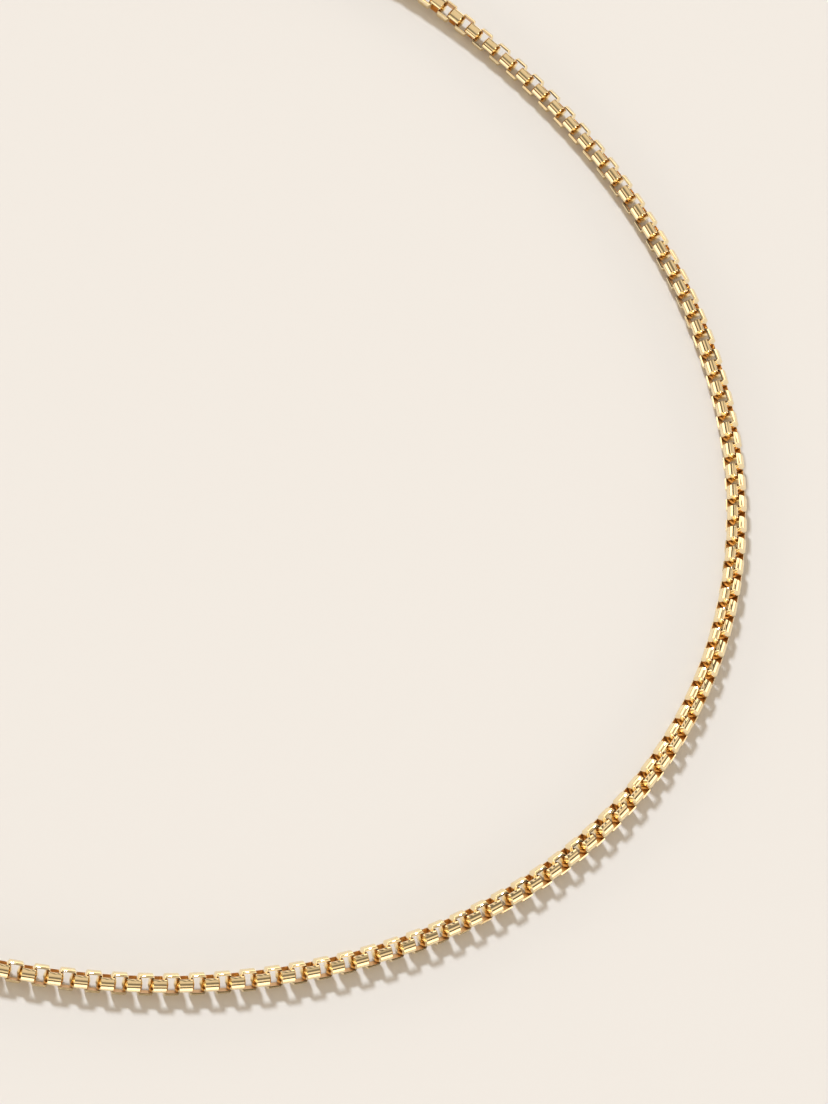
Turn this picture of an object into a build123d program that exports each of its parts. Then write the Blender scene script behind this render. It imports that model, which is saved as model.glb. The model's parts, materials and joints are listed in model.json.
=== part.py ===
"""Round box chain necklace with a lobster clasp, lying open-ended in an oval on a flat surface.

Millimetres, +Z up. The origin is the middle of the necklace's bounding box, at the height of the surface
that it lies on. The front of the necklace is towards -Y and the clasp is at +Y.
"""

from build123d import *
from math import asin, cos, degrees, pi, radians, sin, sqrt
import os

# Chain link: a ring of wire turned to a round barrel with domed ends, then cut to a band
chain_width = 2.6
link_pitch = 1.49
band_width = 1.45
bar_thick = 0.21
bar_play = 0.08
plate_thick = 0.46
bar_bulge = 0.2
end_round_radius = 2.6
bar_crown_radius = 3.0

# How many links, and how they are grouped
links_per_segment = 7
segment_count = 47

# The oval that the chain lies in: its heading along its length, as two even waves on a circle
side_roundness = -0.155
shoulder_roundness = 0.02
route_steps = 4

# How far the plates lean outwards from straight up, at the front, the sides and the back
lean_front = 36.0
lean_side = 39.0
lean_back = 54.0
lean_end = 90.0
end_rise_length = 24.0

# Connecting ring at each end of the chain
ring_wire = 0.6
ring_inner_radius = 1.1
ring_seat = 0.70
ring_play = 0.06

# Catch ring, of half-round wire with its flat side inwards
catch_inner_radius = 1.9
catch_width = 1.1
catch_thick = 0.75

# Lobster clasp
clasp_thick = 2.4
clasp_edge_radius = 0.55
clasp_inner_edge = 0.25
eye_hole_radius = 0.8
eye_outer_radius = 1.5
eye_thick = 1.2
eye_waist_width = 1.9
neck_x = 2.9
neck_radius = 1.75
head_x = 8.2
head_radius = 3.3
bow_radius = 1.9
bow_start_x = 5.6
bow_start_radius = 1.0
lever_pivot_x = 3.5
lever_pivot_y = 0.95
lever_boss_radius = 0.85
lever_thick = 1.3
lever_side_gap = 0.05
lever_swing_room = 0.2
lever_nose_radius = 5.6
lever_nose_gap = 0.08
lever_underside = 0.45
tab_x = 4.7
tab_tip_radius = 0.5
tab_root_radius = 1.0
tab_reach = 0.95
pin_radius = 0.35
pin_head_radius = 0.55
pin_head_height = 0.12
pin_clearance = 0.03
spring_thick = 0.12
spring_width = 0.9
spring_gap = 0.04
spring_foot_gap = 0.01
spring_foot_x = -1.5
spring_bend_x = -0.4
spring_tip_room = 0.05
spring_room_depth = 1.35
spring_room_lap = 0.35
spring_room_back = 1.7
spring_room_end = 0.3
clasp_to_catch_gap = 3.0

# Worked out from the sizes above
link_count = links_per_segment * segment_count
link_length = link_pitch + 2 * bar_thick + bar_play
chain_radius = chain_width / 2
half_band = band_width / 2
chain_length = link_count * link_pitch
last_link = (link_count - 1) / 2 * link_pitch
end_bar = last_link + link_length / 2 - bar_thick / 2
ring_mid_radius = ring_inner_radius + ring_wire / 2
ring_height = ring_inner_radius + ring_wire
end_rise = ring_height - chain_radius
ring_station = end_bar + ring_seat
section_reach = sqrt(ring_inner_radius**2 - (max(catch_width, eye_thick) / 2) ** 2) - ring_play
catch_outer_radius = catch_inner_radius + catch_thick
catch_station = ring_station + section_reach + catch_inner_radius
eye_station = ring_station + section_reach + eye_hole_radius
clasp_tip = head_x + head_radius
spring_tip_x = lever_boss_radius + spring_tip_room
spring_room_front = spring_tip_x + spring_room_end
route_length = eye_station + clasp_tip + clasp_to_catch_gap + catch_station + catch_outer_radius


def heading(s):
    """The route's direction in degrees at s mm from the front, measured from +X."""
    turn = 2 * pi * s / route_length
    return degrees(turn + side_roundness / 2 * sin(2 * turn) + shoulder_roundness / 4 * sin(4 * turn))


def route_walk():
    """Points of the route, one every quarter of a link, from the front round to the back."""
    step = link_pitch / route_steps
    x, y, points = 0.0, 0.0, [(0.0, 0.0)]
    for i in range(int(route_length / 2 / step) + 2 * route_steps):
        angle = radians(heading((i + 0.5) * step))
        x, y = x + step * cos(angle), y + step * sin(angle)
        points.append((x, y))
    return step, points


route_step, route_points = route_walk()
route_depth = max(y for _, y in route_points)


def route_xy(s):
    """Where the route is, s mm from the front. It is the same on both sides of the front."""
    n = min(int(abs(s) / route_step), len(route_points) - 1)
    x, y = route_points[n]
    rest = abs(s) - n * route_step
    angle = radians(heading(n * route_step + rest / 2))
    x, y = x + rest * cos(angle), y + rest * sin(angle)
    return (x if s >= 0 else -x), y - route_depth / 2


def smooth(t):
    """0 before 0, 1 after 1, and a smooth step between."""
    t = min(max(t, 0.0), 1.0)
    return t * t * (3 - 2 * t)


def end_share(s):
    """How far s is into the end stretch, where the chain rises and turns to meet its ring."""
    return smooth((abs(s) - (end_bar - end_rise_length)) / end_rise_length)


def route_height(s):
    """The height of the chain's middle."""
    return chain_radius + end_rise * end_share(s)


def lean(s):
    """The plates' lean outwards from straight up, in degrees."""
    angle = radians(heading(abs(s)))
    even = (lean_front + lean_back) / 2
    mean, second = (even + lean_side) / 2, (even - lean_side) / 2
    value = mean + (lean_front - lean_back) / 2 * cos(angle) + second * cos(2 * angle)
    return value + (lean_end - value) * end_share(s)


def frame_at(s, roll=0.0):
    """A plane at s on the route: X along the chain, and Z turned outwards from straight up by roll."""
    x, y = route_xy(s)
    step = link_pitch / 2
    slope = (route_height(s + step) - route_height(s - step)) / (2 * step)
    angle = radians(heading(s))
    along = Vector(cos(angle), sin(angle), slope).normalized()
    outward = Vector(sin(angle), -cos(angle), 0)
    up = outward.cross(along)
    normal = up * cos(radians(roll)) + outward * sin(radians(roll))
    return Plane(origin=(x, y, route_height(s)), x_dir=along, z_dir=normal)


def link_plane(i):
    """The plane of link i, counted from the left end. Every second link is turned a quarter round."""
    s = -last_link + i * link_pitch
    return frame_at(s, lean(s) + 90 * (i % 2))


def link_shape():
    """One link on its own plane: X along the chain, Y through its opening."""
    crown = half_band**2 / (2 * bar_crown_radius)
    inner_length = link_length - 2 * bar_thick
    end_x = link_length / 2 + bar_bulge - end_round_radius
    outline = rectangle_between(-link_length, link_length, 0, chain_radius)
    outline &= Pos(end_x, 0) * Circle(end_round_radius)
    outline &= Pos(-end_x, 0) * Circle(end_round_radius)
    blank = revolve(outline, Axis.X) & Box(2 * link_length, band_width, chain_width)
    opening = Box(inner_length + 2 * crown, 2 * band_width, chain_width - 2 * plate_thick)
    crown_x = inner_length / 2 + bar_crown_radius
    for side in (-1, 1):
        opening -= Pos(side * crown_x, 0, 0) * Cylinder(bar_crown_radius, chain_width)
    return (blank - opening).solid()


def chain_segment(k, link):
    """The links of segment k, counted from the left end."""
    first = k * links_per_segment
    return [link_plane(i).location * link for i in range(first, first + links_per_segment)]


def hinge_plane(k):
    """The plane of the pivot between segment k and the next, halfway between their two nearest links."""
    s = -last_link + ((k + 1) * links_per_segment - 0.5) * link_pitch
    return frame_at(s, lean(s))


def end_plane(station, side):
    """A level plane on the route with X pointing away from the chain, at its right (1) or left (-1) end."""
    x, y = route_xy(side * station)
    angle = radians(heading(side * station))
    away = Vector(cos(angle), sin(angle), 0) * side
    return Plane(origin=(x, y, ring_height), x_dir=away, z_dir=(0, 0, 1))


def connecting_ring(side):
    """A soldered ring of round wire, standing upright through the chain's last link."""
    ring = Rot(X=90) * Torus(ring_mid_radius, ring_wire / 2)
    return end_plane(ring_station, side).location * ring


def catch_plane():
    """The catch ring's own plane. Its near side hangs in the connecting ring and its far side rests."""
    mid_radius = catch_inner_radius + catch_thick / 2
    round_radius = ((catch_width / 2) ** 2 + catch_thick**2) / (2 * catch_thick)
    drop = asin((ring_height - round_radius) / (mid_radius + catch_outer_radius - round_radius))
    base = end_plane(catch_station, 1)
    away = base.x_dir * cos(drop) - base.z_dir * sin(drop)
    near_edge = base.origin - base.x_dir * mid_radius
    return Plane(origin=near_edge + away * mid_radius, x_dir=away, z_dir=away.cross(base.y_dir))


def catch_ring():
    """The ring that the clasp closes on: half-round wire, flat inside."""
    low, high = (catch_inner_radius, -catch_width / 2), (catch_inner_radius, catch_width / 2)
    flat = Line(low, high)
    round_side = ThreePointArc(high, (catch_outer_radius, 0), low)
    section = make_face(Plane.XZ * (flat + round_side))
    return catch_plane().location * revolve(section, Axis.Z)


def clasp_plane():
    """The clasp's own plane, from its eye to its head. Its eye hangs in the ring and its head rests."""
    drop = asin((ring_height - clasp_thick / 2) / (clasp_tip - clasp_edge_radius))
    base = end_plane(eye_station, -1)
    away = base.x_dir * cos(drop) - base.z_dir * sin(drop)
    return Plane(origin=base.origin, x_dir=away, z_dir=away.cross(base.y_dir))


def clasp_outline():
    """The clasp's outline without its eye: a drop, wide at the head."""
    return make_hull(
        (Pos(head_x, 0) * Circle(head_radius)).edges() + (Pos(neck_x, 0) * Circle(neck_radius)).edges()
    )


def bow_outline():
    """The hollow that the catch ring sits in."""
    return make_hull(
        (Pos(head_x, 0) * Circle(bow_radius)).edges()
        + (Pos(bow_start_x, 0) * Circle(bow_start_radius)).edges()
    )


def rectangle_between(x0, x1, y0, y1):
    """A rectangle given by its four sides."""
    return Pos((x0 + x1) / 2, (y0 + y1) / 2) * Rectangle(x1 - x0, y1 - y0)


def lever_slot():
    """The space cut in the body for the lever and its spring, from behind the pivot to the bow."""
    boss = Pos(lever_pivot_x, lever_pivot_y) * Circle(lever_boss_radius + lever_swing_room)
    sweep = rectangle_between(
        lever_pivot_x - lever_boss_radius - lever_side_gap,
        bow_start_x + bow_start_radius + lever_swing_room,
        lever_pivot_y - lever_boss_radius + lever_side_gap,
        head_radius + lever_swing_room,
    )
    room_top = lever_pivot_y - lever_boss_radius + spring_room_lap
    room = rectangle_between(
        lever_pivot_x - spring_room_back,
        lever_pivot_x + spring_room_front,
        room_top - spring_room_depth,
        room_top,
    )
    return extrude(boss + sweep + room, lever_thick / 2 + lever_side_gap, both=True)


def nose_disc(radius):
    """A disc about the lever's pivot. The lever's nose and the hook's tip both end on such a disc."""
    return Pos(lever_pivot_x, lever_pivot_y) * Circle(radius)


def clasp_body():
    """The hook, its eye and the two cheeks that hold the lever's pin."""
    blank = extrude(clasp_outline() - bow_outline(), clasp_thick / 2, both=True)
    flats = blank.faces().sort_by(Axis.Z)[:: len(blank.faces()) - 1]
    blank = fillet([edge for flat in flats for edge in flat.outer_wire().edges()], clasp_edge_radius)
    flats = blank.faces().sort_by(Axis.Z)[:: len(blank.faces()) - 1]
    bow_edges = [edge for flat in flats for wire in flat.inner_wires() for edge in wire.edges()]
    blank = fillet(bow_edges, clasp_inner_edge)
    waist = rectangle_between(0, neck_x, -eye_waist_width / 2, eye_waist_width / 2)
    body = blank + extrude(Circle(eye_outer_radius) + waist, eye_thick / 2, both=True)
    body -= Cylinder(eye_hole_radius, clasp_thick)
    body -= lever_slot()
    gate = rectangle_between(bow_start_x, bow_start_x + 2 * head_radius, 0, 2 * head_radius)
    gate &= nose_disc(lever_nose_radius + lever_nose_gap)
    body -= extrude(gate, clasp_thick, both=True)
    body -= Pos(lever_pivot_x, lever_pivot_y, 0) * Cylinder(pin_radius, 2 * clasp_thick)
    return body.solid()


def clasp_lever():
    """The sprung gate, its boss round the pin and the tab for a thumbnail."""
    underside = lever_pivot_y - lever_underside
    reach = lever_nose_radius
    arm = (clasp_outline() - bow_outline()) & nose_disc(reach)
    arm &= rectangle_between(lever_pivot_x, lever_pivot_x + reach, underside, underside + 2 * head_radius)
    boss = Pos(lever_pivot_x, lever_pivot_y) * Circle(lever_boss_radius)
    tab_y = neck_radius + (head_radius - neck_radius) * (tab_x - neck_x) / (head_x - neck_x)
    tab = make_hull(
        (Pos(tab_x, tab_y - tab_root_radius / 2) * Circle(tab_root_radius)).edges()
        + (Pos(tab_x - tab_tip_radius, tab_y + tab_reach) * Circle(tab_tip_radius)).edges()
    )
    lever = extrude(arm + boss + tab, lever_thick / 2, both=True)
    lever -= Pos(lever_pivot_x, lever_pivot_y, 0) * Cylinder(pin_radius + pin_clearance, clasp_thick)
    return lever.solid()


def clasp_pin():
    """The rivet that the lever turns on, with a low head outside each cheek."""
    shank = Cylinder(pin_radius, clasp_thick)
    head = Cylinder(pin_head_radius, pin_head_height)
    for side in (-1, 1):
        shank += Pos(0, 0, side * (clasp_thick + pin_head_height) / 2) * head
    return (Pos(lever_pivot_x, lever_pivot_y, 0) * shank).solid()


def clasp_spring():
    """The bent steel leaf that holds the lever shut. Its foot lies in the body, its tip at the lever."""
    floor = lever_pivot_y - lever_boss_radius + spring_room_lap - spring_room_depth
    foot = floor + spring_thick / 2 + spring_foot_gap
    tip = lever_pivot_y - lever_underside - spring_thick / 2 - spring_gap
    path = Pos(lever_pivot_x, 0) * Polyline((spring_foot_x, foot), (spring_bend_x, foot), (spring_tip_x, tip))
    leaf = offset(path, spring_thick / 2, side=Side.BOTH)
    return extrude(make_face(leaf.edges()), spring_width / 2, both=True).solid()


def necklace():
    """Every node's name and its solids, in the route's own frame."""
    link = link_shape()
    nodes = {f"chain_segment_{k + 1:02d}": chain_segment(k, link) for k in range(segment_count)}
    nodes["clasp_end_ring"] = [connecting_ring(-1)]
    nodes["catch_end_ring"] = [connecting_ring(1)]
    nodes["catch_ring"] = [catch_ring()]
    clasp = clasp_plane().location
    for name, make in (
        ("clasp_body", clasp_body),
        ("clasp_lever", clasp_lever),
        ("clasp_pin", clasp_pin),
        ("clasp_spring", clasp_spring),
    ):
        nodes[name] = [clasp * make()]
    return nodes


def main():
    os.makedirs("parts", exist_ok=True)
    nodes = necklace()
    box = Compound([solid for solids in nodes.values() for solid in solids]).bounding_box()
    to_origin = Pos(-box.center().X, -box.center().Y, -box.min.Z)
    for name, solids in nodes.items():
        export_step(Compound([to_origin * solid for solid in solids]), f"parts/{name}.step")
    print("links", link_count, "chain", round(chain_length, 1), "box", box.size)


if __name__ == "__main__":
    main()
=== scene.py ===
"""Looks of the round box chain necklace: rounded gold links, rings and lobster clasp on a pale floor.

Laid out as an add-on: each kind of piece is one operator, its sizes and colours are properties, and a
panel in the 3D view's sidebar lists them. Every size is in metres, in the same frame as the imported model.
"""

import json
from math import acos, cos, pi, radians, sin

import bmesh
import bpy
import numpy as np
from bpy.props import FloatProperty, FloatVectorProperty, IntProperty, PointerProperty
from mathutils import Matrix, Vector


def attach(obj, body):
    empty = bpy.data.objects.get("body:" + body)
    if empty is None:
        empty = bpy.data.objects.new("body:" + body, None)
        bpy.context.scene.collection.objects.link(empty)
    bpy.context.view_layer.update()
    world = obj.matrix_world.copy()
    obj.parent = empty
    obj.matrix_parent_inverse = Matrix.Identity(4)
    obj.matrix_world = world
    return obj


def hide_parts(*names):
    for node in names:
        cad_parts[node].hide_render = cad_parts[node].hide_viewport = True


bl_info = {
    "name": "Round Box Chain Necklace",
    "version": (1, 0, 0),
    "blender": (4, 5, 0),
    "location": "3D View > Sidebar > Necklace",
    "description": "Models the links, rings, clasp and stage of a gold chain necklace",
    "category": "Mesh",
}

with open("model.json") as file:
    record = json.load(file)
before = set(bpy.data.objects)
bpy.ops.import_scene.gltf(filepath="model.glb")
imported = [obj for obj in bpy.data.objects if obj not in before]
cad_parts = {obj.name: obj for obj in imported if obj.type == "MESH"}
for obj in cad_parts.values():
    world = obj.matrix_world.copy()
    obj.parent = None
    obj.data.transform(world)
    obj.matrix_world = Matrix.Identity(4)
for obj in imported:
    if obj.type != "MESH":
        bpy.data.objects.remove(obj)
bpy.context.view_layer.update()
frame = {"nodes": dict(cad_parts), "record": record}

MM = 0.001
CHAIN_NODES = sorted(name for name in frame["nodes"] if name.startswith("chain_segment_"))
X, Y = Vector((1, 0, 0)), Vector((0, 1, 0))
ORIGIN = (0, 0, 0)

# What the properties of one kind have in common
SIZE = {"subtype": "DISTANCE", "unit": "LENGTH"}
COLOUR = {"subtype": "COLOR", "min": 0, "max": 1}
ANGLE = {"subtype": "ANGLE"}

# Surface points this close together are one corner of the measured solid
MERGE_DISTANCE = 0.0005 * MM

# The domed ends of a link: the flat middle, as shares of the half length and of the radius, how the
# rings crowd towards the edge, and how near a vertex has to be to belong to a ring or to the end
DOME_FLAT_AT = 0.999
DOME_FLAT_RADIUS = 0.1
DOME_RING_SPACING = 0.75
RING_TOLERANCE = 0.005 * MM
END_TOLERANCE = 0.9995

# A face is one of the band's two flat sides when its normal is this near the opening's axis
SIDE_FACE = 0.9

# How far a crease may turn and still be shaded smooth
LINK_SMOOTH = radians(40)
RING_SMOOTH = radians(60)
CATCH_SMOOTH = radians(50)

# Wear of the metals: directions of the hairlines, their contrast and the roughness they vary between
HAIRLINE_TURN = (0.6, 0.3, 0.9)
HAIRLINE_STRETCH = (1.0, 0.12, 1.0)
HAIRLINE_RANGE = (0.3, 0.7)
ROUGHNESS_SPREAD = (0.7, 1.4)
INSIDE_ROUGHNESS = 0.25

# The clasp's spring
STEEL_COLOUR = (0.55, 0.55, 0.56)
STEEL_ROUGHNESS = (0.18, 0.42)

FLOOR_SIZE = 6
FLOOR_ROUGHNESS = 0.9

# Brightness of the sky at sines of the height above the horizon
SKY_BANDS = (
    (0.0, 0.3),
    (0.16, 2.1),
    (0.36, 2.1),
    (0.44, 0.12),
    (0.54, 0.12),
    (0.64, 1.15),
    (0.80, 0.15),
    (0.94, 0.8),
)


# ---------------------------------------------------------------- measuring the frame


def solids_of(node):
    """Each solid of a CAD node, as its centre, its three main axes and its half lengths along them.

    The axes come thinnest first. They are found from the spread of the solid's surface, which is exact
    for a shape with three mirror planes.
    """
    surface = bmesh.new()
    surface.from_mesh(frame["nodes"][node].data)
    bmesh.ops.remove_doubles(surface, verts=surface.verts, dist=MERGE_DISTANCE)
    unseen = set(surface.faces)
    found = []
    for first in surface.faces:
        if first not in unseen:
            continue
        unseen.discard(first)
        island, edge = [], [first]
        while edge:
            face = edge.pop()
            island.append(face)
            for side in face.edges:
                for other in side.link_faces:
                    if other in unseen:
                        unseen.discard(other)
                        edge.append(other)
        found.append(measure([[corner.co[:] for corner in face.verts] for face in island]))
    surface.free()
    return found


def measure(triangles):
    """Centre, axes and half lengths of a closed surface given by its triangles."""
    corners = np.array(triangles, float)
    normals = np.cross(corners[:, 1] - corners[:, 0], corners[:, 2] - corners[:, 0])
    area = np.linalg.norm(normals, axis=1) / 2
    centre = (corners.mean(1) * area[:, None]).sum(0) / area.sum()
    local = corners - centre
    total = local.sum(1)
    spread = np.einsum("t,tci,tcj->ij", area, local, local)
    spread += np.einsum("t,ti,tj->ij", area, total, total)
    _, axes = np.linalg.eigh(spread)
    along = local.reshape(-1, 3) @ axes
    return Vector(centre), [Vector(axis) for axis in axes.T], (along.max(0) - along.min(0)) / 2


def place(centre, x_axis, z_axis):
    """The matrix that takes a piece from the origin to a centre, with its X and Z along two axes."""
    x, z = x_axis.normalized(), z_axis.normalized()
    turn = Matrix((x, z.cross(x), z)).transposed()
    return Matrix.Translation(centre) @ turn.to_4x4()


# ---------------------------------------------------------------- modelling by hand, in code


def select_only(*pieces):
    """Selects these pieces alone, with the first one active."""
    bpy.ops.object.select_all(action="DESELECT")
    for piece in pieces:
        piece.select_set(True)
    bpy.context.view_layer.objects.active = pieces[0]


def start_edit(piece):
    """Makes a piece the only selected one and opens it in edit mode."""
    select_only(piece)
    bpy.ops.object.mode_set(mode="EDIT")


def pick(kind, test):
    """Selects what passes a test among the vertices, edges or faces of the piece in edit mode."""
    bpy.ops.mesh.select_mode(type=kind)
    bpy.ops.mesh.select_all(action="DESELECT")
    mesh = bmesh.from_edit_mesh(bpy.context.edit_object.data)
    parts = {"VERT": mesh.verts, "EDGE": mesh.edges, "FACE": mesh.faces}[kind]
    for part in parts:
        if test(part):
            part.select_set(True)
    mesh.select_flush_mode()
    bmesh.update_edit_mesh(bpy.context.edit_object.data)


def resize(x=1.0, y=1.0, z=1.0):
    """Scales the selected part of a piece about the origin."""
    bpy.ops.transform.resize(value=(x, y, z), center_override=ORIGIN)


def apply_modifiers(piece):
    """Turns the result of a piece's modifiers into its mesh."""
    select_only(piece)
    for modifier in list(piece.modifiers):
        bpy.ops.object.modifier_apply(modifier=modifier.name)


def smooth(piece, angle):
    """Smooth shading up to an angle, with the broad faces keeping their own direction."""
    select_only(piece)
    bpy.ops.object.shade_smooth_by_angle(angle=angle)
    weighted = piece.modifiers.new("broad_faces_first", "WEIGHTED_NORMAL")
    weighted.keep_sharp = True
    apply_modifiers(piece)


def mark_inside(piece, test):
    """Marks the faces inside a piece. Its material shows them rougher, as left unpolished, and in a deeper,
    darker colour that is painted shade.
    """
    mark = piece.data.attributes.new("inside", "FLOAT", "FACE")
    mark.data.foreach_set("value", [float(test(face)) for face in piece.data.polygons])


def add_piece(name, meshes, material, body, nodes):
    """One finished piece from meshes already in place, riding on its body in place of its CAD nodes."""
    parts = []
    for mesh in meshes:
        part = bpy.data.objects.new(name, mesh)
        bpy.context.scene.collection.objects.link(part)
        parts.append(part)
    select_only(*parts)
    if len(parts) > 1:
        bpy.ops.object.join()
    piece = parts[0]
    piece.name = piece.data.name = name
    piece.data.materials.clear()
    piece.data.materials.append(material)
    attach(piece, body)
    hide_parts(*nodes)
    return piece


def body_of(node):
    """The body that a CAD node belongs to."""
    bodies = frame["record"]["behaviour"]["bodies"]
    return next(body for body, nodes in bodies.items() if node in nodes)


def copy_at(pattern, matrix):
    """A copy of a modelled piece's mesh, in place."""
    mesh = pattern.data.copy()
    mesh.transform(matrix)
    return mesh


def discard(piece):
    """Removes a piece and its mesh."""
    mesh = piece.data
    bpy.data.objects.remove(piece)
    bpy.data.meshes.remove(mesh)


# ---------------------------------------------------------------- sizes and colours that a user may change


class LinkSizes(bpy.types.PropertyGroup):
    """Sizes of one link. Its outer length, width and band width are measured from the frame."""

    inner_length: FloatProperty(
        name="Opening", description="Length of the opening", default=1.73 * MM, **SIZE
    )
    plate_thick: FloatProperty(
        name="Plate", description="Thickness of the two plates", default=0.43 * MM, **SIZE
    )
    dome_radius: FloatProperty(
        name="Dome", description="Round of the two ends", default=2.1 * MM, **SIZE
    )
    rim: FloatProperty(
        name="Rim", description="Polished edge round each plate", default=0.05 * MM, **SIZE
    )
    sides: IntProperty(
        name="Sides", description="Flat strips round the barrel", default=16, min=8, max=64
    )
    dome_steps: IntProperty(
        name="Dome steps", description="Rings of faces in each dome", default=3, min=2, max=12
    )


class RingSizes(bpy.types.PropertyGroup):
    """Sizes of the wire of the rings. Their outer sizes are measured from the frame."""

    catch_thick: FloatProperty(
        name="Catch wire", description="Thickness of its half-round wire", default=0.75 * MM, **SIZE
    )
    catch_edge: FloatProperty(
        name="Catch edge", description="Wear of its two edges", default=0.06 * MM, **SIZE
    )
    swing_room: FloatProperty(
        name="Swing room",
        description="Taken off the radius of the connecting rings' wire",
        default=0.02 * MM,
        **SIZE,
    )


class GoldLook(bpy.types.PropertyGroup):
    """Colours and polish of the gold."""

    bright: FloatVectorProperty(
        name="Bright gold", description="Main colour", default=(0.98, 0.84, 0.56), **COLOUR
    )
    deep: FloatVectorProperty(
        name="Deep gold", description="Tone it drifts to", default=(0.96, 0.78, 0.47), **COLOUR
    )
    # Colour of the faces inside the links: painted shade, darker and more orange, standing in for the light
    # shaded and caught between the gold walls
    painted_inside_shade: FloatVectorProperty(
        name="Painted inside shade", description="Inside the links", default=(0.80, 0.47, 0.19), **COLOUR
    )
    polish: FloatProperty(
        name="Roughness", description="Roughness of the polish", default=0.09, min=0, max=1
    )


class StageSettings(bpy.types.PropertyGroup):
    """The floor, the camera, the sky and the key light."""

    floor_colour: FloatVectorProperty(
        name="Floor", description="Colour of the floor", default=(0.67, 0.66, 0.66), **COLOUR
    )
    camera_target: FloatVectorProperty(
        name="Aim",
        description="Point the camera looks at",
        default=(0.0477, -0.0027, 0),
        subtype="TRANSLATION",
    )
    camera_distance: FloatProperty(
        name="Distance", description="From the aim", default=0.543, unit="LENGTH"
    )
    camera_azimuth: FloatProperty(
        name="Azimuth",
        description="Level direction that the camera looks in",
        default=radians(86.6),
        **ANGLE,
    )
    camera_tilt: FloatProperty(
        name="Tilt", description="From straight down", default=radians(31.7), **ANGLE
    )
    camera_roll: FloatProperty(
        name="Roll", description="About its line of sight", default=radians(27.2), **ANGLE
    )
    camera_lens: FloatProperty(
        name="Lens", description="Focal length in millimetres", default=146.74
    )
    camera_near: FloatProperty(
        name="Near limit", description="Nothing nearer is seen", default=0.01, unit="LENGTH"
    )
    sky_power: FloatProperty(
        name="Sky", description="Strength of the soft light all round", default=1.0, min=0
    )
    sky_colour: FloatVectorProperty(
        name="Sky colour", description="Tint of the soft light", default=(1.0, 0.86, 0.68), **COLOUR
    )
    key_strength: FloatProperty(
        name="Key", description="Main light in watts per square metre", default=2.87, min=0
    )
    key_angle: FloatProperty(
        name="Key softness", description="Its angle across", default=radians(9), **ANGLE
    )
    key_colour: FloatVectorProperty(
        name="Key colour", description="Tint of the main light", default=(0.91, 0.96, 1.0), **COLOUR
    )
    key_azimuth: FloatProperty(
        name="Key azimuth",
        description="Level direction it comes from",
        default=radians(140),
        **ANGLE,
    )
    key_height: FloatProperty(
        name="Key height", description="Above the horizon", default=radians(42), **ANGLE
    )


# ---------------------------------------------------------------- materials


def group_tree(name, inputs, outputs):
    """An empty shader node group with its sockets, and its input and output nodes."""
    tree = bpy.data.node_groups.new(name, "ShaderNodeTree")
    for socket_name, kind, default in inputs:
        socket = tree.interface.new_socket(socket_name, in_out="INPUT", socket_type=kind)
        if default is not None:
            socket.default_value = default
    for socket_name, kind in outputs:
        tree.interface.new_socket(socket_name, in_out="OUTPUT", socket_type=kind)
    return tree, tree.nodes.new("NodeGroupInput"), tree.nodes.new("NodeGroupOutput")


def handling_group():
    """Wear of a polished surface: soft dents left by finishing, and fine hairlines."""
    if "handling" in bpy.data.node_groups:
        return bpy.data.node_groups["handling"]
    tree, inputs, outputs = group_tree(
        "handling",
        [
            ("Place", "NodeSocketVector", None),
            ("Dent Scale", "NodeSocketFloat", 1400.0),
            ("Hairline Scale", "NodeSocketFloat", 6000.0),
        ],
        [("Dents", "NodeSocketFloat"), ("Hairlines", "NodeSocketFloat")],
    )
    dents = tree.nodes.new("ShaderNodeTexNoise")
    dents.inputs["Detail"].default_value = 1.0
    tree.links.new(inputs.outputs["Place"], dents.inputs["Vector"])
    tree.links.new(inputs.outputs["Dent Scale"], dents.inputs["Scale"])
    stretch = tree.nodes.new("ShaderNodeMapping")
    stretch.inputs["Rotation"].default_value = HAIRLINE_TURN
    stretch.inputs["Scale"].default_value = HAIRLINE_STRETCH
    tree.links.new(inputs.outputs["Place"], stretch.inputs["Vector"])
    lines = tree.nodes.new("ShaderNodeTexNoise")
    lines.inputs["Detail"].default_value = 3.0
    tree.links.new(stretch.outputs["Vector"], lines.inputs["Vector"])
    tree.links.new(inputs.outputs["Hairline Scale"], lines.inputs["Scale"])
    tree.links.new(dents.outputs["Fac"], outputs.inputs["Dents"])
    tree.links.new(lines.outputs["Fac"], outputs.inputs["Hairlines"])
    return tree


def new_metal(name):
    """A metal with the wear of handling: its material, its main shader and the wear's node."""
    material = bpy.data.materials.new(name)
    material.use_nodes = True
    tree = material.node_tree
    shader = tree.nodes["Principled BSDF"]
    shader.inputs["Metallic"].default_value = 1.0
    where = tree.nodes.new("ShaderNodeTexCoord")
    handling = tree.nodes.new("ShaderNodeGroup")
    handling.node_tree = handling_group()
    tree.links.new(where.outputs["Object"], handling.inputs["Place"])
    return material, shader, handling


def blend(tree, factor, first, second):
    """The result of blending two colours, where each is a fixed colour or another node's output."""
    mix = tree.nodes.new("ShaderNodeMix")
    mix.data_type = "RGBA"
    tree.links.new(factor, mix.inputs["Factor"])
    for side, colour in (("A", first), ("B", second)):
        if isinstance(colour, bpy.types.NodeSocket):
            tree.links.new(colour, mix.inputs[side])
        else:
            mix.inputs[side].default_value = (*colour, 1)
    return mix.outputs["Result"]


def bump(tree, height, distance):
    """A bump node of its own depth."""
    node = tree.nodes.new("ShaderNodeBump")
    node.inputs["Distance"].default_value = distance
    tree.links.new(height, node.inputs["Height"])
    return node


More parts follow.
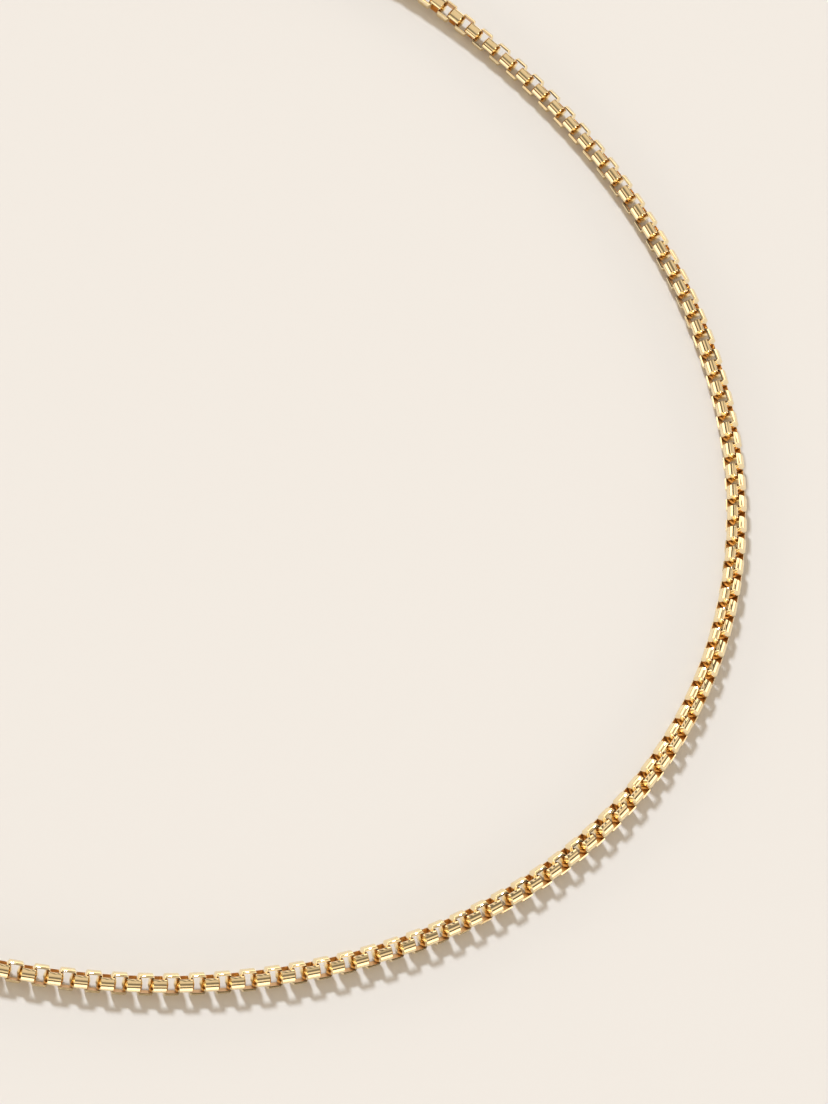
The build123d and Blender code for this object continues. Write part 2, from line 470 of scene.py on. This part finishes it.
def gold(name, look, roughness, dent_depth, hairline_depth):
    """Polished yellow gold, with its own depth of dents and hairlines, and painted shade on the faces
    inside the links.
    """
    material, shader, handling = new_metal(name)
    tree = material.node_tree
    inside = tree.nodes.new("ShaderNodeAttribute")
    inside.attribute_name = "inside"
    tone = blend(tree, handling.outputs["Dents"], look.bright, look.deep)
    # the faces inside the links get painted shade: a darker, more orange colour
    colour = blend(tree, inside.outputs["Fac"], tone, look.painted_inside_shade)
    tree.links.new(colour, shader.inputs["Base Color"])

    polish = tree.nodes.new("ShaderNodeMapRange")
    polish.inputs["From Min"].default_value = HAIRLINE_RANGE[0]
    polish.inputs["From Max"].default_value = HAIRLINE_RANGE[1]
    polish.inputs["To Min"].default_value = roughness * ROUGHNESS_SPREAD[0]
    polish.inputs["To Max"].default_value = roughness * ROUGHNESS_SPREAD[1]
    tree.links.new(handling.outputs["Hairlines"], polish.inputs["Value"])
    duller = tree.nodes.new("ShaderNodeMath")
    duller.operation = "MULTIPLY_ADD"
    duller.inputs[1].default_value = INSIDE_ROUGHNESS
    tree.links.new(inside.outputs["Fac"], duller.inputs[0])
    tree.links.new(polish.outputs["Result"], duller.inputs[2])
    tree.links.new(duller.outputs["Value"], shader.inputs["Roughness"])

    dents = bump(tree, handling.outputs["Dents"], dent_depth)
    hairlines = bump(tree, handling.outputs["Hairlines"], hairline_depth)
    tree.links.new(dents.outputs["Normal"], hairlines.inputs["Normal"])
    tree.links.new(hairlines.outputs["Normal"], shader.inputs["Normal"])
    return material


def spring_steel():
    """Grey steel with the same wear."""
    material, shader, handling = new_metal("spring_steel")
    tree = material.node_tree
    shader.inputs["Base Color"].default_value = (*STEEL_COLOUR, 1)
    polish = tree.nodes.new("ShaderNodeMapRange")
    polish.inputs["To Min"].default_value = STEEL_ROUGHNESS[0]
    polish.inputs["To Max"].default_value = STEEL_ROUGHNESS[1]
    tree.links.new(handling.outputs["Hairlines"], polish.inputs["Value"])
    tree.links.new(polish.outputs["Result"], shader.inputs["Roughness"])
    return material


# ---------------------------------------------------------------- the chain


def dome_rings(sizes, half_length, radius):
    """The rings of a domed end, from its flat middle out, as places along X and radii."""
    centre = half_length - sizes.dome_radius
    edge_angle = radians(90) - acos(radius / sizes.dome_radius)
    rings = [(half_length * DOME_FLAT_AT, radius * DOME_FLAT_RADIUS)]
    for i in range(1, sizes.dome_steps + 1):
        angle = edge_angle * (i / sizes.dome_steps) ** DOME_RING_SPACING
        ring_radius = min(radius, sizes.dome_radius * sin(angle))
        rings.append((centre + sizes.dome_radius * cos(angle), ring_radius))
    return rings


def model_barrel(sizes, half_length, radius):
    """A closed barrel at the origin, along X, with domed ends."""
    bpy.ops.object.select_all(action="DESELECT")
    bpy.ops.mesh.primitive_cylinder_add(
        vertices=sizes.sides,
        radius=radius,
        depth=2 * half_length,
        end_fill_type="NOTHING",
        rotation=(0, pi / 2, 0),
    )
    barrel = bpy.context.object
    bpy.ops.object.transform_apply(location=False, rotation=True, scale=False)
    start_edit(barrel)
    middle, *rings = dome_rings(sizes, half_length, radius)
    for x, _ in rings:
        for side in (-1, 1):
            bpy.ops.mesh.select_all(action="SELECT")
            bpy.ops.mesh.bisect(plane_co=(side * x, 0, 0), plane_no=X)
    for x, ring_radius in rings[:-1]:
        pick("VERT", lambda vertex: abs(abs(vertex.co.x) - x) < RING_TOLERANCE)
        resize(y=ring_radius / radius, z=ring_radius / radius)
    pick("VERT", lambda vertex: abs(vertex.co.x) > END_TOLERANCE * half_length)
    resize(y=middle[1] / radius, z=middle[1] / radius)
    bpy.ops.mesh.edge_face_add()
    return barrel


def model_link(sizes, half_band, half_length, radius):
    """One link at the origin: X along the chain, Y through its opening, Z out of its two round plates.

    A barrel with domed ends is cut to a band, and the opening is cut through the band.
    """
    link = model_barrel(sizes, half_length, radius)
    # the band, with a polished rim between the plates and the sides of the wire
    cut_at = half_band - sizes.rim
    for side in (-1, 1):
        bpy.ops.mesh.select_all(action="SELECT")
        bpy.ops.mesh.bisect(
            plane_co=(0, side * cut_at, 0), plane_no=Y * side, clear_outer=True, use_fill=True
        )
    bpy.ops.mesh.select_all(action="SELECT")
    bpy.ops.mesh.normals_make_consistent(inside=False)
    pick("FACE", lambda face: abs(face.normal.y) > SIDE_FACE)
    bpy.ops.mesh.inset(thickness=sizes.rim, depth=sizes.rim)
    bpy.ops.object.mode_set(mode="OBJECT")
    # the opening, cut by a block that stands well out of both sides of the band
    bpy.ops.mesh.primitive_cube_add(size=1)
    opening = bpy.context.object
    opening.scale = (sizes.inner_length, 4 * half_band, 2 * (radius - sizes.plate_thick))
    cut = link.modifiers.new("opening", "BOOLEAN")
    cut.operation = "DIFFERENCE"
    cut.object = opening
    apply_modifiers(link)
    discard(opening)
    # the faces turned towards the link's middle get the painted shade and the extra roughness of the inside
    mark_inside(link, lambda face: face.center.dot(face.normal) < 0)
    smooth(link, LINK_SMOOTH)
    return link


class NECKLACE_OT_chain(bpy.types.Operator):
    """Models one round box link and sets a copy of it at every link of the frame"""

    bl_idname = "necklace.chain"
    bl_label = "Chain Links"

    def execute(self, context):
        scene = context.scene
        look = scene.gold_look
        material = gold("chain_gold", look, look.polish, 0.004 * MM, 0.0006 * MM)
        places = {node: solids_of(node) for node in CHAIN_NODES}
        _, _, (half_band, half_length, radius) = places[CHAIN_NODES[0]][0]
        link = model_link(scene.link_sizes, half_band, half_length, radius)
        for node, solids in places.items():
            meshes = [copy_at(link, place(centre, axes[1], axes[2])) for centre, axes, _ in solids]
            name = node.replace("chain_segment", "links")
            add_piece(name, meshes, material, body_of(node), [node])
        discard(link)
        return {"FINISHED"}


# ---------------------------------------------------------------- rings and clasp


def model_ring(name, mid_radius, wire_radius, steps, sides):
    """A ring of round wire at the origin, about Z."""
    bpy.ops.object.select_all(action="DESELECT")
    bpy.ops.mesh.primitive_torus_add(
        major_radius=mid_radius, minor_radius=wire_radius, major_segments=steps, minor_segments=sides
    )
    ring = bpy.context.object
    ring.name = name
    return ring


class NECKLACE_OT_rings(bpy.types.Operator):
    """Models the soldered ring at each end of the chain"""

    bl_idname = "necklace.rings"
    bl_label = "Connecting Rings"

    def execute(self, context):
        scene = context.scene
        look = scene.gold_look
        material = gold("ring_gold", look, look.polish * 1.2, 0.003 * MM, 0.0008 * MM)
        for node in ("clasp_end_ring", "catch_end_ring"):
            centre, axes, half = solids_of(node)[0]
            wire_radius = half[0]
            thinned = wire_radius - scene.ring_sizes.swing_room
            ring = model_ring(node, half[2] - wire_radius, thinned, steps=64, sides=20)
            smooth(ring, RING_SMOOTH)
            mark_inside(ring, lambda face: False)
            mesh = copy_at(ring, place(centre, axes[1], axes[0]))
            discard(ring)
            add_piece(node + "_visual", [mesh], material, body_of(node), [node])
        return {"FINISHED"}


class NECKLACE_OT_catch(bpy.types.Operator):
    """Models the catch ring: half-round wire, flat inside, turned into a ring"""

    bl_idname = "necklace.catch"
    bl_label = "Catch Ring"

    def execute(self, context):
        scene = context.scene
        sizes, look = scene.ring_sizes, scene.gold_look
        material = gold("catch_gold", look, look.polish, 0.003 * MM, 0.0008 * MM)
        centre, axes, half = solids_of("catch_ring")[0]
        inner_radius = half[2] - sizes.catch_thick
        ring = model_ring("catch_ring", inner_radius, sizes.catch_thick, steps=96, sides=24)
        start_edit(ring)
        # the inner half of the wire is cut off and closed flat, and the rest is resized to its real width
        pick("VERT", lambda vertex: vertex.co.xy.length < inner_radius - 0.01 * MM)
        bpy.ops.mesh.delete(type="VERT")
        pick("EDGE", lambda edge: edge.is_boundary)
        bpy.ops.mesh.bridge_edge_loops()
        bpy.ops.mesh.select_all(action="SELECT")
        resize(z=half[0] / sizes.catch_thick)
        bpy.ops.mesh.normals_make_consistent(inside=False)
        bpy.ops.object.mode_set(mode="OBJECT")
        edge = ring.modifiers.new("worn_edge", "BEVEL")
        edge.width = sizes.catch_edge
        edge.segments = 2
        edge.limit_method = "ANGLE"
        edge.angle_limit = radians(40)
        apply_modifiers(ring)
        smooth(ring, CATCH_SMOOTH)
        mark_inside(ring, lambda face: False)
        placed = copy_at(ring, place(centre, axes[1], axes[0]))
        discard(ring)
        add_piece("catch_ring_visual", [placed], material, "catch_ring", ["catch_ring"])
        return {"FINISHED"}


class NECKLACE_OT_clasp(bpy.types.Operator):
    """Gives the clasp's body, lever, pin and spring their metals"""

    bl_idname = "necklace.clasp"
    bl_label = "Clasp Metals"

    def execute(self, context):
        look = context.scene.gold_look
        body_gold = gold("clasp_gold", look, look.polish * 1.3, 0.004 * MM, 0.0008 * MM)
        pin_gold = gold("pin_gold", look, look.polish * 2.2, 0.002 * MM, 0.0010 * MM)
        for node, material in (
            ("clasp_body", body_gold),
            ("clasp_lever", body_gold),
            ("clasp_pin", pin_gold),
            ("clasp_spring", spring_steel()),
        ):
            mesh = frame["nodes"][node].data
            mesh.materials.clear()
            mesh.materials.append(material)
        return {"FINISHED"}


# ---------------------------------------------------------------- the stage


class NECKLACE_OT_stage(bpy.types.Operator):
    """Adds the floor, the camera, the sky and the key light"""

    bl_idname = "necklace.stage"
    bl_label = "Stage"

    def execute(self, context):
        settings = context.scene.stage_settings
        self.add_floor(settings)
        self.add_camera(context, settings)
        self.add_sky(context, settings)
        self.add_key_light(context, settings)
        context.scene.view_settings.view_transform = "Standard"
        return {"FINISHED"}

    def add_floor(self, settings):
        bpy.ops.object.select_all(action="DESELECT")
        bpy.ops.mesh.primitive_plane_add(size=FLOOR_SIZE)
        floor = bpy.context.object
        floor.name = "floor"
        material = bpy.data.materials.new("pale_floor")
        material.use_nodes = True
        shader = material.node_tree.nodes["Principled BSDF"]
        shader.inputs["Base Color"].default_value = (*settings.floor_colour, 1)
        shader.inputs["Roughness"].default_value = FLOOR_ROUGHNESS
        floor.data.materials.append(material)

    def add_camera(self, context, settings):
        turn = (
            Matrix.Rotation(settings.camera_azimuth - pi / 2, 4, "Z")
            @ Matrix.Rotation(settings.camera_tilt, 4, "X")
            @ Matrix.Rotation(settings.camera_roll, 4, "Z")
        )
        back = turn @ Vector((0, 0, settings.camera_distance))
        data = bpy.data.cameras.new("camera")
        data.lens = settings.camera_lens
        data.clip_start = settings.camera_near
        camera = bpy.data.objects.new("camera", data)
        camera.matrix_world = Matrix.Translation(Vector(settings.camera_target) + back) @ turn
        context.scene.collection.objects.link(camera)
        context.scene.camera = camera

    def add_sky(self, context, settings):
        """Soft bands of light from the horizon up, as from softboxes overhead and at the sides."""
        world = bpy.data.worlds.new("studio")
        context.scene.world = world
        world.use_nodes = True
        tree = world.node_tree
        background = tree.nodes["Background"]
        background.inputs["Strength"].default_value = settings.sky_power
        where = tree.nodes.new("ShaderNodeTexCoord")
        parts = tree.nodes.new("ShaderNodeSeparateXYZ")
        bands = tree.nodes.new("ShaderNodeValToRGB")
        bands.color_ramp.interpolation = "EASE"
        stops = bands.color_ramp.elements
        # a new ramp already has two stops
        for i, (height, light) in enumerate(SKY_BANDS):
            stop = stops[i] if i < 2 else stops.new(height)
            stop.position = height
            stop.color = [light * tint for tint in settings.sky_colour] + [1]
        tree.links.new(where.outputs["Generated"], parts.inputs["Vector"])
        tree.links.new(parts.outputs["Z"], bands.inputs["Fac"])
        tree.links.new(bands.outputs["Color"], background.inputs["Color"])

    def add_key_light(self, context, settings):
        data = bpy.data.lights.new("key_light", "SUN")
        data.energy = settings.key_strength
        data.angle = settings.key_angle
        data.color = settings.key_colour
        light = bpy.data.objects.new("key_light", data)
        azimuth, height = settings.key_azimuth, settings.key_height
        away = Vector((cos(height) * cos(azimuth), cos(height) * sin(azimuth), sin(height)))
        light.location = away
        light.rotation_euler = away.to_track_quat("Z", "Y").to_euler()
        context.scene.collection.objects.link(light)


class VIEW3D_PT_necklace(bpy.types.Panel):
    """Lists the necklace's pieces and their settings"""

    bl_label = "Necklace"
    bl_space_type = "VIEW_3D"
    bl_region_type = "UI"
    bl_category = "Necklace"

    def draw(self, context):
        layout = self.layout
        for operator in OPERATORS:
            layout.operator(operator.bl_idname)
        for name in SETTINGS:
            box = layout.box()
            group = getattr(context.scene, name)
            for field in type(group).__annotations__:
                box.prop(group, field)


SETTINGS = {
    "link_sizes": LinkSizes,
    "ring_sizes": RingSizes,
    "gold_look": GoldLook,
    "stage_settings": StageSettings,
}
OPERATORS = (
    NECKLACE_OT_chain,
    NECKLACE_OT_rings,
    NECKLACE_OT_catch,
    NECKLACE_OT_clasp,
    NECKLACE_OT_stage,
)


def register():
    """Adds the settings, the operators and the panel to Blender."""
    for group in SETTINGS.values():
        bpy.utils.register_class(group)
    for name, group in SETTINGS.items():
        setattr(bpy.types.Scene, name, PointerProperty(type=group))
    for operator in OPERATORS:
        bpy.utils.register_class(operator)
    bpy.utils.register_class(VIEW3D_PT_necklace)


def unregister():
    """Takes them out again."""
    bpy.utils.unregister_class(VIEW3D_PT_necklace)
    for operator in reversed(OPERATORS):
        bpy.utils.unregister_class(operator)
    for name, group in SETTINGS.items():
        delattr(bpy.types.Scene, name)
        bpy.utils.unregister_class(group)


def main():
    """Models the whole necklace."""
    register()
    bpy.ops.necklace.chain()
    bpy.ops.necklace.rings()
    bpy.ops.necklace.catch()
    bpy.ops.necklace.clasp()
    bpy.ops.necklace.stage()


if __name__ == "__main__":
    main()
